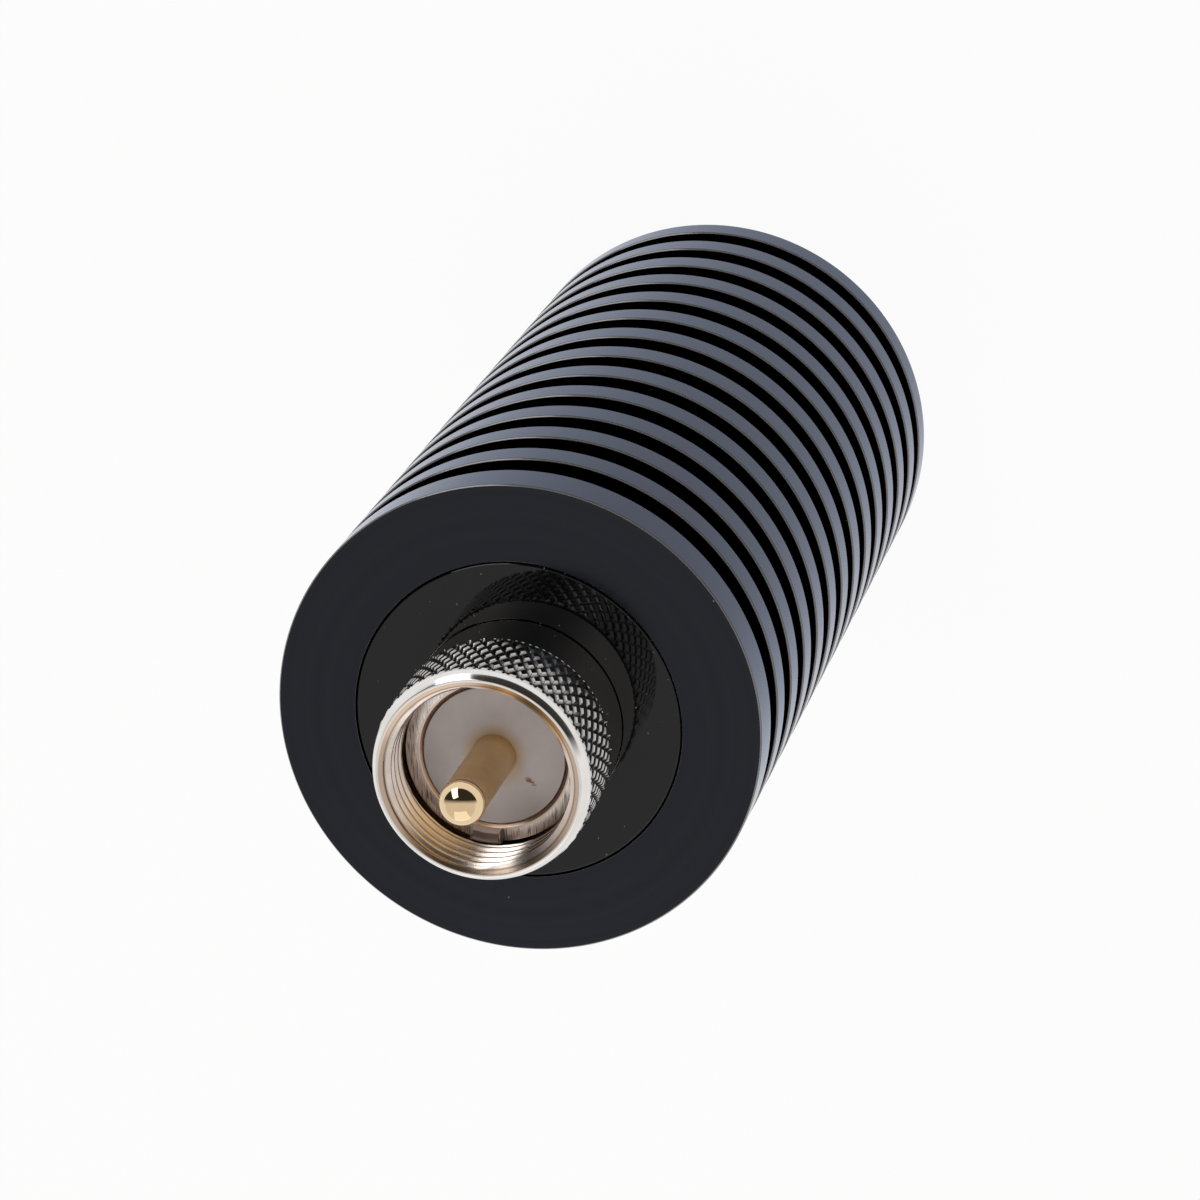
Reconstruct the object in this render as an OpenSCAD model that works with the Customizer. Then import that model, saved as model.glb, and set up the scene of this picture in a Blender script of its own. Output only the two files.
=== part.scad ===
// Dry coaxial dummy load with a plug of the 5/8 inch 24-thread kind.
// It stands on its rear end, with the plug up along +Z and the origin under its axis.
// Millimetres. Every turned piece is a profile spun about the axis.

/* [Finned body] */
// Outside diameter of the fins
body_d = 41; // [39:0.5:60]
// Length of the plain band at the front end
front_band = 4; // [3:0.5:10]
// Length of the plain band at the rear end
rear_band = 3; // [2:0.5:10]
// Thickness of each fin between two grooves
fin_t = 3; // [2:0.25:5]
// Width of each groove
groove_w = 3; // [2:0.25:5]
// Number of grooves along the body
groove_count = 13; // [11:1:20]
// Depth of each groove below the fin rims
groove_depth = 5; // [2:0.25:5.5]
// Bevel on every turned edge of the body
edge_bevel = 0.12; // [0.08:0.02:0.6]
// Solid metal left between the bore and the rear face
rear_wall = 9; // [8:0.5:16]

/* [Front plate and face disc] */
// Diameter of the glossy face disc and of the plate under it
disc_d = 27.6; // [26.8:0.1:29]
// Thickness of the face disc
disc_t = 1.2; // [0.8:0.1:2]
// Bevel round the rim of the face disc
disc_bevel = 0.15; // [0.05:0.05:0.3]
// Thickness of the mounting plate under the face disc
plate_t = 2.2; // [1.6:0.1:2.6]
// Width of the ledge round the bore that the plate is screwed to
ledge_w = 4.2; // [4:0.1:4.6]
// Gap all round the disc and the plate in their recess
face_gap = 0.1; // [0.05:0.05:0.25]
// Number of countersunk screws that hold the plate
plate_screw_count = 4; // [3:1:6]
// Thread diameter of the plate screws
plate_screw_d = 2; // [1.6:0.1:2.2]
// Head diameter of the plate screws
plate_screw_head_d = 3.8; // [3:0.1:4]
// Length of the plate screws, head included
plate_screw_len = 8; // [6:0.5:12]

/* [Plug shell] */
// Step from the coupling nut's knurl down to the polished collar behind it
collar_step = 0.25; // [0.05:0.05:0.8]
// Height of the collar above the face of the disc
collar_h = 4.7; // [3:0.1:8]
// Bevel on the front edge of the collar
collar_bevel = 0.3; // [0.1:0.05:0.6]
// Depth to which the shell's neck sits in the collar
neck_seat = 1.7; // [1:0.1:2.5]
// Diameter of the shell's neck, where the nut runs
neck_d = 12.2; // [11.8:0.1:12.8]
// Thickness of the rim
rim_t = 2; // [1.8:0.1:3]
// Diameter of the seat in the rim for the front insulator
rim_seat_d = 11.9; // [11:0.1:12.2]
// Depth of that seat
rim_seat_depth = 1.2; // [0.8:0.1:1.4]
// Bevel on the inner edge of the rim
rim_bevel = 0.3; // [0.1:0.05:0.4]
// Number of locating teeth on the rim
tooth_count = 2; // [2:1:4]
// Width of a locating tooth
tooth_w = 2.6; // [1.5:0.1:3.5]
// Height of a locating tooth above the rim
tooth_h = 0.9; // [0.4:0.1:1.5]
// Bearing of the first tooth about the axis
tooth_bearing = 117; // [0:1:175]
// Thread diameter of the shell's rear spigot
spigot_d = 11.1; // [10.6:0.1:11.6]
// Length of spigot that stands out behind the lock nut
spigot_proud = 1; // [0.5:0.25:3]
// Bore of the shell in which both insulators sit
shell_bore_d = 8.6; // [8:0.1:8.8]
// Thickness of the web between the insulators
web_t = 1.2; // [0.8:0.1:2]
// Bore of that web
web_bore_d = 5.2; // [4.4:0.1:6]

/* [Coupling nut] */
// Diameter over the roots of the inside thread
thread_major_d = 15.875; // [15:0.125:18]
// Depth of the inside thread
thread_depth = 0.54; // [0.4:0.02:0.6]
// Wall of the nut outside the thread, knurl included
nut_wall = 1.2; // [1:0.05:2]
// Length of the nut
nut_len = 8.35; // [7:0.05:12]
// Length of the smooth bevel between the knurl and the front face
nut_bevel_len = 0.5; // [0.3:0.05:1]
// Drop of that bevel from the knurl
nut_bevel_drop = 0.3; // [0.2:0.05:0.5]
// Height of the crowned front face from its outer edge to the mouth
nut_face_crown = 0.2; // [0:0.05:0.4]
// Bevel on the rear edge of the nut
nut_rear_bevel = 0.25; // [0.1:0.05:0.6]
// Width of that front face
nut_face_w = 0.55; // [0.3:0.05:0.7]
// Thickness of the nut's inward flange
nut_flange_t = 1; // [0.8:0.1:1.6]
// Gap round the shell's rim in the relief behind the thread
relief_gap = 0.54; // [0.3:0.02:0.7]
// Length of the relief past the shell's rim
relief_past_rim = 0.4; // [0.2:0.1:1]
// Running gap along the axis on each side of that flange
nut_end_gap = 0.15; // [0.05:0.05:0.3]
// Running gap round the shell's neck
nut_side_gap = 0.1; // [0.05:0.05:0.2]

/* [Centre contact] */
// Diameter of the free end of the pin
pin_d = 3.8; // [3.6:0.05:4]
// Height of the pin's tip above the face of the disc
pin_tip_h = 19.9; // [15:0.1:24]
// Diameter of the pin inside the insulators
pin_stem_d = 3.4; // [3:0.1:3.5]
// Diameter of the pin's thin tail
pin_tail_d = 2.4; // [2:0.1:2.8]
// Thickness of the ferrule that holds the pin from behind
ferrule_t = 1.4; // [1:0.1:2.5]
// Outside diameter of the ferrule
ferrule_d = 6; // [5:0.1:7]
// Depth of the front insulator's face below the rim
insulator_sunk = 0.1; // [0:0.05:0.4]
// Free length of the spring socket for the tail
socket_len = 5; // [4:0.25:8]
// Wall of the spring socket
socket_wall = 0.8; // [0.6:0.05:1.2]
// Width of the slots in the spring socket
socket_slot_w = 0.5; // [0.3:0.05:0.7]
// Floor of the spring socket
socket_floor = 0.8; // [0.5:0.1:1.2]
// Air gap between the spring socket and the pin's ferrule
socket_gap = 0.9; // [0.4:0.1:3]

/* [Plate fixings] */
// Width across the flats of the lock nut
lock_nut_flats = 14; // [13.5:0.1:15]
// Thickness of the lock nut
lock_nut_t = 3; // [2:0.25:4]
// Thickness of the toothed lock washer
lock_washer_t = 0.8; // [0.5:0.1:1.2]
// Number of notches in the lock washer
lock_washer_notches = 12; // [8:1:16]

/* [Resistor] */
// Outside diameter of the ceramic resistor tube
resistor_d = 10; // [9:0.25:11]
// Wall of the resistor tube
resistor_wall = 1.8; // [1.2:0.1:2]
// Wall of the two end caps
cap_wall = 0.5; // [0.3:0.05:0.8]
// Depth of the tube in each end cap
cap_depth = 4; // [3:0.25:8]
// Floor of the two end caps
cap_floor = 1.5; // [1:0.1:3]
// Gap between the end caps and the heat-conducting sleeve
sleeve_gap = 0.3; // [0.1:0.05:0.6]
// Thread diameter of the screw that earths the rear cap
earth_screw_d = 3; // [2.5:0.1:3.2]
// Head diameter of that screw
earth_screw_head_d = 5.5; // [5:0.1:5.8]
// Head height of that screw
earth_screw_head_h = 2; // [1.5:0.1:3]
// Depth of its thread in the rear wall
earth_screw_depth = 5; // [4:0.25:6.5]
// Thickness of the split washer under its head
split_washer_t = 0.8; // [0.5:0.1:1.2]

/* [Hidden] */
$fn = 96;

// Clearance of parts that slide or press together on one body
fit_gap = 0.05;
// Overrun that lets a cut break cleanly through a face
cut = 0.5;
// Depth of a drive recess in a screw head, as a share of the head
drive_share = 0.55;
// Room left at the bottom of a blind tapped hole
tap_room = 1;

body_r = body_d / 2;
core_r = body_r - groove_depth;
fin_pitch = fin_t + groove_w;
body_len = rear_band + front_band + groove_count * groove_w + (groove_count - 1) * fin_t;

recess_d = disc_d + 2 * face_gap;
bore_d = disc_d - 2 * ledge_w;
plate_screw_r = (disc_d - ledge_w) / 2;
plate_top = body_len - disc_t;
plate_bottom = plate_top - plate_t;

collar_top = body_len + collar_h;
neck_bottom = collar_top - neck_seat;
nut_bottom = collar_top + nut_end_gap;
nut_top = nut_bottom + nut_len;
flange_bore_d = neck_d + 2 * nut_side_gap;
nut_d = thread_major_d + 2 * nut_wall;
collar_d = nut_d - 2 * collar_step;
rim_d = thread_major_d - 2 * relief_gap;
rim_bottom = nut_bottom + nut_flange_t + nut_end_gap;
rim_top = rim_bottom + rim_t;
rim_seat_floor = rim_top - rim_seat_depth;

washer_bottom = plate_bottom - lock_washer_t;
lock_nut_bottom = washer_bottom - lock_nut_t;
spigot_bottom = lock_nut_bottom - spigot_proud;

web_bottom = neck_bottom;
web_top = web_bottom + web_t;
insulator_face = rim_top - insulator_sunk;
pin_tip = body_len + pin_tip_h;
ferrule_bottom = spigot_bottom - ferrule_t;

resistor_bottom = rear_wall + cap_floor;
hot_cap_top = ferrule_bottom - socket_gap - socket_len;
resistor_top = hot_cap_top - cap_floor;
cap_d = resistor_d + 2 * cap_wall + 2 * fit_gap;
sleeve_bore_d = cap_d + 2 * sleeve_gap;
sleeve_d = bore_d - 2 * fit_gap;
split_washer_top = resistor_bottom + split_washer_t;
socket_d = pin_tail_d + 2 * fit_gap + 2 * socket_wall;
socket_shank_d = pin_tail_d;

// A ring between two heights
module ring(outer_d, inner_d, bottom, top) {
    translate([0, 0, bottom])
        difference() {
            cylinder(d = outer_d, h = top - bottom);
            translate([0, 0, -cut])
                cylinder(d = inner_d, h = top - bottom + 2 * cut);
        }
}

// Copies set evenly round the axis
module around(count, first = 0) {
    for (i = [0 : count - 1])
        rotate([0, 0, first + i * 360 / count])
            children();
}

// Outline of the turned bar, from the rear face up past each groove to the front face
function groove_start(i) = rear_band + i * fin_pitch;
function groove_points(low) = [
    [body_r, low - edge_bevel],
    [body_r - edge_bevel, low],
    [core_r, low],
    [core_r, low + groove_w],
    [body_r - edge_bevel, low + groove_w],
    [body_r, low + groove_w + edge_bevel]
];
body_outline = concat(
    [[0, 0], [body_r - edge_bevel, 0], [body_r, edge_bevel]],
    [for (i = [0 : groove_count - 1]) each groove_points(groove_start(i))],
    [[body_r, body_len - edge_bevel], [body_r - edge_bevel, body_len], [0, body_len]]
);

// Finned body, turned from black anodised bar and bored blind from the front
module heat_sink() {
    screw_hole_len = plate_screw_len - plate_t + tap_room;
    color("#1b1b1e")
        difference() {
            rotate_extrude()
                polygon(body_outline);
            translate([0, 0, plate_bottom])
                cylinder(d = recess_d, h = body_len - plate_bottom + cut);
            translate([0, 0, rear_wall])
                cylinder(d = bore_d, h = body_len - rear_wall);
            translate([0, 0, rear_wall - earth_screw_depth - tap_room])
                cylinder(d = earth_screw_d, h = earth_screw_depth + tap_room + cut);
            around(plate_screw_count)
                translate([plate_screw_r, 0, plate_bottom - screw_hole_len])
                    cylinder(d = plate_screw_d, h = screw_hole_len + cut);
        }
}

// Height of a countersunk head with a 90 degree cone
plate_screw_head_h = (plate_screw_head_d - plate_screw_d) / 2;

// Cone of a plate screw's head, its large end level with the plate
module plate_screw_cone(extra) {
    translate([plate_screw_r, 0, plate_top - plate_screw_head_h])
        cylinder(d1 = plate_screw_d + 2 * extra, d2 = plate_screw_head_d + 2 * extra, h = plate_screw_head_h);
}

// Aluminium plate that closes the bore and carries the plug
module mounting_plate() {
    color("#9a9b9e")
        difference() {
            ring(disc_d, spigot_d + 2 * fit_gap, plate_bottom, plate_top);
            around(plate_screw_count) {
                plate_screw_cone(fit_gap);
                translate([plate_screw_r, 0, plate_bottom - cut])
                    cylinder(d = plate_screw_d + 2 * fit_gap, h = plate_t + 2 * cut);
            }
        }
}

// Countersunk screws with hexagon sockets, hidden under the face disc
module plate_screws() {
    shank_len = plate_screw_len - plate_screw_head_h;
    socket_depth = plate_screw_head_h * drive_share;
    color("#6d6e72")
        around(plate_screw_count)
            difference() {
                union() {
                    plate_screw_cone(0);
                    translate([plate_screw_r, 0, plate_top - plate_screw_len])
                        cylinder(d = plate_screw_d - 2 * fit_gap, h = shank_len + fit_gap);
                }
                translate([plate_screw_r, 0, plate_top - socket_depth])
                    cylinder(d = plate_screw_d * drive_share, h = socket_depth + cut, $fn = 6);
            }
}

// Glossy black disc let in flush with the front face, round the collar
module face_disc() {
    rim_r = disc_d / 2;
    hole_r = collar_d / 2 + fit_gap;
    color("#0b0b0c")
        rotate_extrude()
            polygon([
                [hole_r, plate_top],
                [rim_r, plate_top],
                [rim_r, body_len - disc_bevel],
                [rim_r - disc_bevel, body_len],
                [hole_r, body_len]
            ]);
}

// Polished collar, held between the plate and the shell's neck
module collar() {
    outer_r = collar_d / 2;
    seat_r = neck_d / 2 + fit_gap;
    hole_r = spigot_d / 2 + fit_gap;
    color("#c9c6c0")
        rotate_extrude()
            polygon([
                [hole_r, plate_top],
                [outer_r, plate_top],
                [outer_r, collar_top - collar_bevel],
                [outer_r - collar_bevel, collar_top],
                [seat_r, collar_top],
                [seat_r, neck_bottom],
                [hole_r, neck_bottom]
            ]);
}

// Plug shell: toothed rim, neck for the nut, and threaded spigot through the plate
module plug_shell() {
    rim_r = rim_d / 2;
    seat_r = rim_seat_d / 2;
    neck_r = neck_d / 2;
    spigot_r = spigot_d / 2;
    bore_r = shell_bore_d / 2;
    web_r = web_bore_d / 2;
    color("#bdb3a8")
        union() {
            rotate_extrude()
                polygon([
                    [bore_r, spigot_bottom],
                    [spigot_r, spigot_bottom],
                    [spigot_r, neck_bottom],
                    [neck_r, neck_bottom],
                    [neck_r, rim_bottom],
                    [rim_r, rim_bottom],
                    [rim_r, rim_top],
                    [seat_r + rim_bevel, rim_top],
                    [seat_r, rim_top - rim_bevel],
                    [seat_r, rim_seat_floor],
                    [bore_r, rim_seat_floor],
                    [bore_r, web_top],
                    [web_r, web_top],
                    [web_r, web_bottom],
                    [bore_r, web_bottom]
                ]);
            intersection() {
                ring(rim_d, rim_seat_d + 2 * rim_bevel, rim_top - cut, rim_top + tooth_h);
                around(tooth_count, tooth_bearing)
                    translate([0, -tooth_w / 2, rim_top - cut])
                        cube([rim_d, tooth_w, tooth_h + cut]);
            }
        }
}

// Coupling nut: runs freely on the neck, with its flange trapped under the rim
module coupling_nut() {
    knurl_r = nut_d / 2;
    face_r = knurl_r - nut_bevel_drop;
    root_r = thread_major_d / 2;
    crest_r = root_r - thread_depth;
    flange_r = flange_bore_d / 2;
    flange_top = nut_bottom + nut_flange_t;
    relief_top = rim_top + relief_past_rim;
    face_low = nut_top - nut_face_crown;
    mouth_r = face_r - nut_face_w;
    mouth_depth = mouth_r - root_r;
    color("#c4c1bb")
        rotate_extrude()
            polygon([
                [flange_r, nut_bottom],
                [knurl_r - nut_rear_bevel, nut_bottom],
                [knurl_r, nut_bottom + nut_rear_bevel],
                [knurl_r, face_low - nut_bevel_len],
                [face_r, face_low],
                [mouth_r, nut_top],
                [root_r, nut_top - mouth_depth],
                [crest_r, nut_top - mouth_depth - thread_depth],
                [crest_r, relief_top + thread_depth],
                [root_r, relief_top],
                [root_r, flange_top],
                [flange_r, flange_top]
            ]);
}

// Front insulator: a flanged white bush in the rim's seat
module front_insulator() {
    hole_r = pin_stem_d / 2 + fit_gap;
    flange_r = rim_seat_d / 2 - fit_gap;
    stem_r = shell_bore_d / 2 - fit_gap;
    color("#d8d2cf")
        rotate_extrude()
            polygon([
                [hole_r, web_top],
                [stem_r, web_top],
                [stem_r, rim_seat_floor],
                [flange_r, rim_seat_floor],
                [flange_r, insulator_face],
                [hole_r, insulator_face]
            ]);
}

// Gold centre pin: ball tip, free end, stem through the insulators, thin tail
module centre_pin() {
    pin_r = pin_d / 2;
    stem_r = pin_stem_d / 2;
    tail_r = pin_tail_d / 2;
    tail_bottom = hot_cap_top + socket_floor + fit_gap;
    color("#c9a24a")
        union() {
            translate([0, 0, pin_tip - pin_r])
                sphere(r = pin_r);
            translate([0, 0, insulator_face])
                cylinder(r = pin_r, h = pin_tip - pin_r - insulator_face);
            translate([0, 0, ferrule_bottom])
                cylinder(r = stem_r, h = insulator_face - ferrule_bottom);
            translate([0, 0, tail_bottom])
                cylinder(r = tail_r, h = ferrule_bottom - tail_bottom);
        }
}

// Rear insulator: a plain bush between the web and the ferrule
module rear_insulator() {
    color("#d8d2cf")
        ring(shell_bore_d - 2 * fit_gap, pin_stem_d + 2 * fit_gap, spigot_bottom, web_bottom);
}

// Brass ferrule pressed on the stem behind the rear insulator
module pin_ferrule() {
    color("#b99a55")
        ring(ferrule_d, pin_stem_d + 2 * fit_gap, ferrule_bottom, spigot_bottom);
}

// Toothed lock washer between the plate and the lock nut
module lock_washer() {
    washer_d = lock_nut_flats;
    notch_w = PI * washer_d / lock_washer_notches / 2;
    notch_depth = (washer_d - spigot_d) / 4;
    color("#8d8e92")
        difference() {
            ring(washer_d, spigot_d + 2 * fit_gap, washer_bottom, plate_bottom);
            around(lock_washer_notches)
                translate([washer_d / 2 - notch_depth, -notch_w / 2, washer_bottom - cut])
                    cube([notch_depth + cut, notch_w, lock_washer_t + 2 * cut]);
        }
}

// Hexagon lock nut on the spigot, its corners taken off by a cone on both faces
module lock_nut() {
    corner_d = lock_nut_flats / cos(30);
    corner_cut = (corner_d - lock_nut_flats) / 2;
    corner_drop = corner_cut * tan(30);
    color("#a9a7a2")
        difference() {
            intersection() {
                translate([0, 0, lock_nut_bottom])
                    cylinder(d = corner_d, h = lock_nut_t, $fn = 6);
                rotate_extrude()
                    polygon([
                        [0, lock_nut_bottom],
                        [lock_nut_flats / 2, lock_nut_bottom],
                        [corner_d / 2, lock_nut_bottom + corner_drop],
                        [corner_d / 2, washer_bottom - corner_drop],
                        [lock_nut_flats / 2, washer_bottom],
                        [0, washer_bottom]
                    ]);
            }
            translate([0, 0, lock_nut_bottom - cut])
                cylinder(d = spigot_d + 2 * fit_gap, h = lock_nut_t + 2 * cut);
        }
}

// Slotted spring socket that takes the pin's tail, pressed in the hot cap
module spring_socket() {
    socket_top = hot_cap_top + socket_len;
    slot_bottom = hot_cap_top + socket_len / 3;
    color("#c2a561")
        difference() {
            union() {
                translate([0, 0, hot_cap_top])
                    cylinder(d = socket_d, h = socket_len);
                translate([0, 0, resistor_top])
                    cylinder(d = socket_shank_d, h = cap_floor);
            }
            translate([0, 0, hot_cap_top + socket_floor])
                cylinder(d = pin_tail_d + 2 * fit_gap, h = socket_len);
            for (turn = [0, 90])
                rotate([0, 0, turn])
                    translate([-socket_d, -socket_slot_w / 2, slot_bottom])
                        cube([2 * socket_d, socket_slot_w, socket_top - slot_bottom + cut]);
        }
}

// One end cap of the resistor: a cup with a hole in its floor
module end_cap(floor_low, floor_high, cup_low, cup_high, hole_d) {
    ring(cap_d, hole_d, floor_low, floor_high);
    ring(cap_d, cap_d - 2 * cap_wall, cup_low, cup_high);
}

// Hot end cap, at the front of the resistor
module hot_cap() {
    color("#c0b48a")
        end_cap(resistor_top, hot_cap_top, resistor_top - cap_depth, resistor_top,
            socket_shank_d + 2 * fit_gap);
}

// Ceramic tube that carries the resistive film
module resistor_tube() {
    color("#7b6a5a")
        ring(resistor_d, resistor_d - 2 * resistor_wall, resistor_bottom, resistor_top);
}

// Earthed end cap, screwed to the floor of the bore
module earth_cap() {
    color("#c0b48a")
        end_cap(rear_wall, resistor_bottom, resistor_bottom, resistor_bottom + cap_depth,
            earth_screw_d + 2 * fit_gap);
}

// Split spring washer under the earth screw's head
module split_washer() {
    split_w = split_washer_t;
    color("#8d8e92")
        difference() {
            ring(earth_screw_head_d, earth_screw_d + 2 * fit_gap, resistor_bottom, split_washer_top);
            translate([0, -split_w / 2, resistor_bottom - cut])
                cube([earth_screw_head_d, split_w, split_washer_t + 2 * cut]);
        }
}

// Slotted screw that earths the cap to the body
module earth_screw() {
    head_top = split_washer_top + earth_screw_head_h;
    shank_bottom = rear_wall - earth_screw_depth;
    slot_depth = earth_screw_head_h * drive_share;
    slot_w = earth_screw_head_d / 6;
    color("#8d8e92")
        difference() {
            union() {
                translate([0, 0, split_washer_top])
                    cylinder(d = earth_screw_head_d, h = earth_screw_head_h);
                translate([0, 0, shank_bottom])
                    cylinder(d = earth_screw_d - 2 * fit_gap, h = split_washer_top - shank_bottom + fit_gap);
            }
            translate([-earth_screw_head_d, -slot_w / 2, head_top - slot_depth])
                cube([2 * earth_screw_head_d, slot_w, slot_depth + cut]);
        }
}

// White ceramic sleeve that takes the resistor's heat to the body
module thermal_sleeve() {
    color("#e4e1da")
        ring(sleeve_d, sleeve_bore_d, rear_wall, hot_cap_top);
}

heat_sink();
mounting_plate();
plate_screws();
face_disc();
collar();
plug_shell();
coupling_nut();
front_insulator();
centre_pin();
rear_insulator();
pin_ferrule();
lock_washer();
lock_nut();
spring_socket();
hot_cap();
resistor_tube();
earth_cap();
split_washer();
earth_screw();
thermal_sleeve();
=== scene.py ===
# A dry coaxial dummy load: a black ring-finned body with a plug in its front end.
# It stands on its rear face, plug up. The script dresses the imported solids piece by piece.
import math

import bmesh
import bpy
from mathutils import Matrix, Vector


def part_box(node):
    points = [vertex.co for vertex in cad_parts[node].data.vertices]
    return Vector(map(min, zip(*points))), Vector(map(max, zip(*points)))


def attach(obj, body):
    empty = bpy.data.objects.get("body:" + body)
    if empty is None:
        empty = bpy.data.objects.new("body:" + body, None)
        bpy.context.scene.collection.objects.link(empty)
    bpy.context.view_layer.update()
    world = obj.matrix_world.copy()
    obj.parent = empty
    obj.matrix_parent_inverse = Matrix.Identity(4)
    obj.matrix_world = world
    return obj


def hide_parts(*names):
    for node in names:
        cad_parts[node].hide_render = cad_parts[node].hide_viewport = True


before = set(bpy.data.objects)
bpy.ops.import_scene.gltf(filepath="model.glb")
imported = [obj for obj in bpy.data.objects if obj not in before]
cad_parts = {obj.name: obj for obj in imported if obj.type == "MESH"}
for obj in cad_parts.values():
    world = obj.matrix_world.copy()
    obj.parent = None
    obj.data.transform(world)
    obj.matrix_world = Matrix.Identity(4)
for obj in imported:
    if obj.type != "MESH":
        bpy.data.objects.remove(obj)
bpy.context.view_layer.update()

# Finned body
# One length of aluminium bar, turned with thirteen square grooves and bored blind from the
# front for the resistor. It is dyed black anodised, so it shines like hard lacquer, not metal.
MM = 0.001
body_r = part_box("heat_sink")[1].x
body_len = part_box("heat_sink")[1].z
REAR_BAND = 3 * MM
GROOVE_W = 3 * MM
GROOVE_DEPTH = 5 * MM
FIN_PITCH = 6 * MM
GROOVE_COUNT = 13
EDGE_BEVEL = 0.12 * MM
RECESS_R = 13.9 * MM
RECESS_DEPTH = 3.4 * MM
BORE_R = 9.6 * MM
REAR_WALL = 9 * MM
EARTH_HOLE_R = 1.5 * MM
EARTH_HOLE_DEPTH = 6 * MM
BODY_COLUMNS = 256
EDGE_SOFTNESS = 0.04 * MM
NEARLY_STRAIGHT = math.radians(172)
MOST_OF_SIDE = 0.4
RIDGE_HEIGHT = 0.02 * MM
DYE = (0.022, 0.024, 0.030)
DYE_FADED = (0.027, 0.029, 0.035)
# Pale colour for the dust specks and for the painted highlight on the front edges.
DUST_AND_EDGE_HIGHLIGHT = (0.24, 0.23, 0.21)
SLANT_TINT = (0.82, 0.865, 1, 1)


def softened(outline, width):
    """The closed outline with each corner off the axis rounded over that width."""
    points = []
    for i, corner in enumerate(outline):
        here = Vector(corner)
        back = Vector(outline[i - 1]) - here
        ahead = Vector(outline[(i + 1) % len(outline)]) - here
        if here.x == 0 or back.angle(ahead) > NEARLY_STRAIGHT:
            points.append(here)
            continue
        start = here + back.normalized() * min(width, MOST_OF_SIDE * back.length)
        end = here + ahead.normalized() * min(width, MOST_OF_SIDE * ahead.length)
        for t in (0, 1 / 3, 2 / 3, 1):
            points.append(start.lerp(here, t).lerp(here.lerp(end, t), t))
    return points


def joined_rings(shape, rings):
    """Closes a loop of rings of equal count with quads. A ring of one vertex is a pole."""
    columns = max(len(ring) for ring in rings)
    for low, high in zip(rings, rings[1:] + rings[:1]):
        if len(low) + len(high) == 2:
            continue
        for i in range(columns):
            k = (i + 1) % columns
            corners = (low[i % len(low)], low[k % len(low)], high[k % len(high)], high[i % len(high)])
            shape.faces.new(dict.fromkeys(corners))


def turned(outline, columns):
    """Spins a closed outline of (radius, height) points about the axis."""
    shape = bmesh.new()
    rings = []
    for radius, height in outline:
        turns = [2 * math.pi * i / columns for i in range(columns if radius > 0 else 1)]
        ring = [(radius * math.cos(turn), radius * math.sin(turn), height) for turn in turns]
        rings.append([shape.verts.new(place) for place in ring])
    joined_rings(shape, rings)
    return shape


def make_piece(name, shape, material, node, body):
    """A smooth piece that stands for a solid of the frame and moves with its body."""
    bmesh.ops.recalc_face_normals(shape, faces=shape.faces)
    mesh = bpy.data.meshes.new(name)
    shape.to_mesh(mesh)
    shape.free()
    mesh.shade_smooth()
    mesh.materials.append(material)
    piece = bpy.data.objects.new(name, mesh)
    bpy.context.scene.collection.objects.link(piece)
    even = piece.modifiers.new("flat faces stay flat", "WEIGHTED_NORMAL")
    even.keep_sharp = True
    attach(piece, body)
    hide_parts(node)
    return piece


def put(tree, kind, inputs, **settings):
    """Adds a node. Each input is a plain value or another node's output."""
    node = tree.nodes.new(kind)
    for name, value in settings.items():
        setattr(node, name, value)
    for key, value in inputs.items():
        if isinstance(value, bpy.types.NodeSocket):
            tree.links.new(value, node.inputs[key])
        else:
            node.inputs[key].default_value = value
    return node


def spread(tree, value, low, high):
    """Turns a value of 0 to 1 into the range from low to high."""
    return put(tree, "ShaderNodeMapRange", {"Value": value, "To Min": low, "To Max": high}).outputs[0]


def tinted(tree, mask, plain, marked):
    """Colour that goes from plain to marked with the mask."""
    mix = put(tree, "ShaderNodeMix", {"Factor": mask}, data_type="RGBA")
    for socket, colour in ((6, plain), (7, marked)):
        if isinstance(colour, bpy.types.NodeSocket):
            tree.links.new(colour, mix.inputs[socket])
        else:
            mix.inputs[socket].default_value = (*colour, 1)
    return mix.outputs[2]


def start_group(name, inputs, outputs):
    """A node group with named number sockets."""
    group = bpy.data.node_groups.new(name, "ShaderNodeTree")
    for socket in inputs:
        group.interface.new_socket(socket, in_out="INPUT", socket_type="NodeSocketFloat")
    for socket in outputs:
        group.interface.new_socket(socket, in_out="OUTPUT", socket_type="NodeSocketFloat")
    return group, group.nodes.new("NodeGroupInput").outputs, group.nodes.new("NodeGroupOutput").inputs


def build_turning_marks():
    """Fine rings left by the lathe tool, on walls and on faces alike, and where they are."""
    group, given, result = start_group("turning marks", ["Feed"], ["Ridge", "Tone", "Radius", "Height"])
    place = put(group, "ShaderNodeTexCoord", {}).outputs["Object"]
    flat = put(group, "ShaderNodeVectorMath", {0: place, 1: (1, 1, 0)}, operation="MULTIPLY").outputs[0]
    radius = put(group, "ShaderNodeVectorMath", {0: flat}, operation="LENGTH").outputs["Value"]
    height = put(group, "ShaderNodeSeparateXYZ", {0: place}).outputs["Z"]
    travel = put(group, "ShaderNodeMath", {0: radius, 1: height}, operation="ADD").outputs[0]
    step = put(group, "ShaderNodeMath", {0: travel, 1: given["Feed"]}, operation="DIVIDE").outputs[0]
    ridge = put(group, "ShaderNodeTexNoise", {"W": step, "Scale": 1, "Detail": 2}, noise_dimensions="1D")
    broad = put(group, "ShaderNodeTexNoise", {"W": step, "Scale": 0.13, "Detail": 1}, noise_dimensions="1D")
    group.links.new(ridge.outputs[0], result["Ridge"])
    group.links.new(broad.outputs[0], result["Tone"])
    group.links.new(radius, result["Radius"])
    group.links.new(height, result["Height"])
    return group


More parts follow.
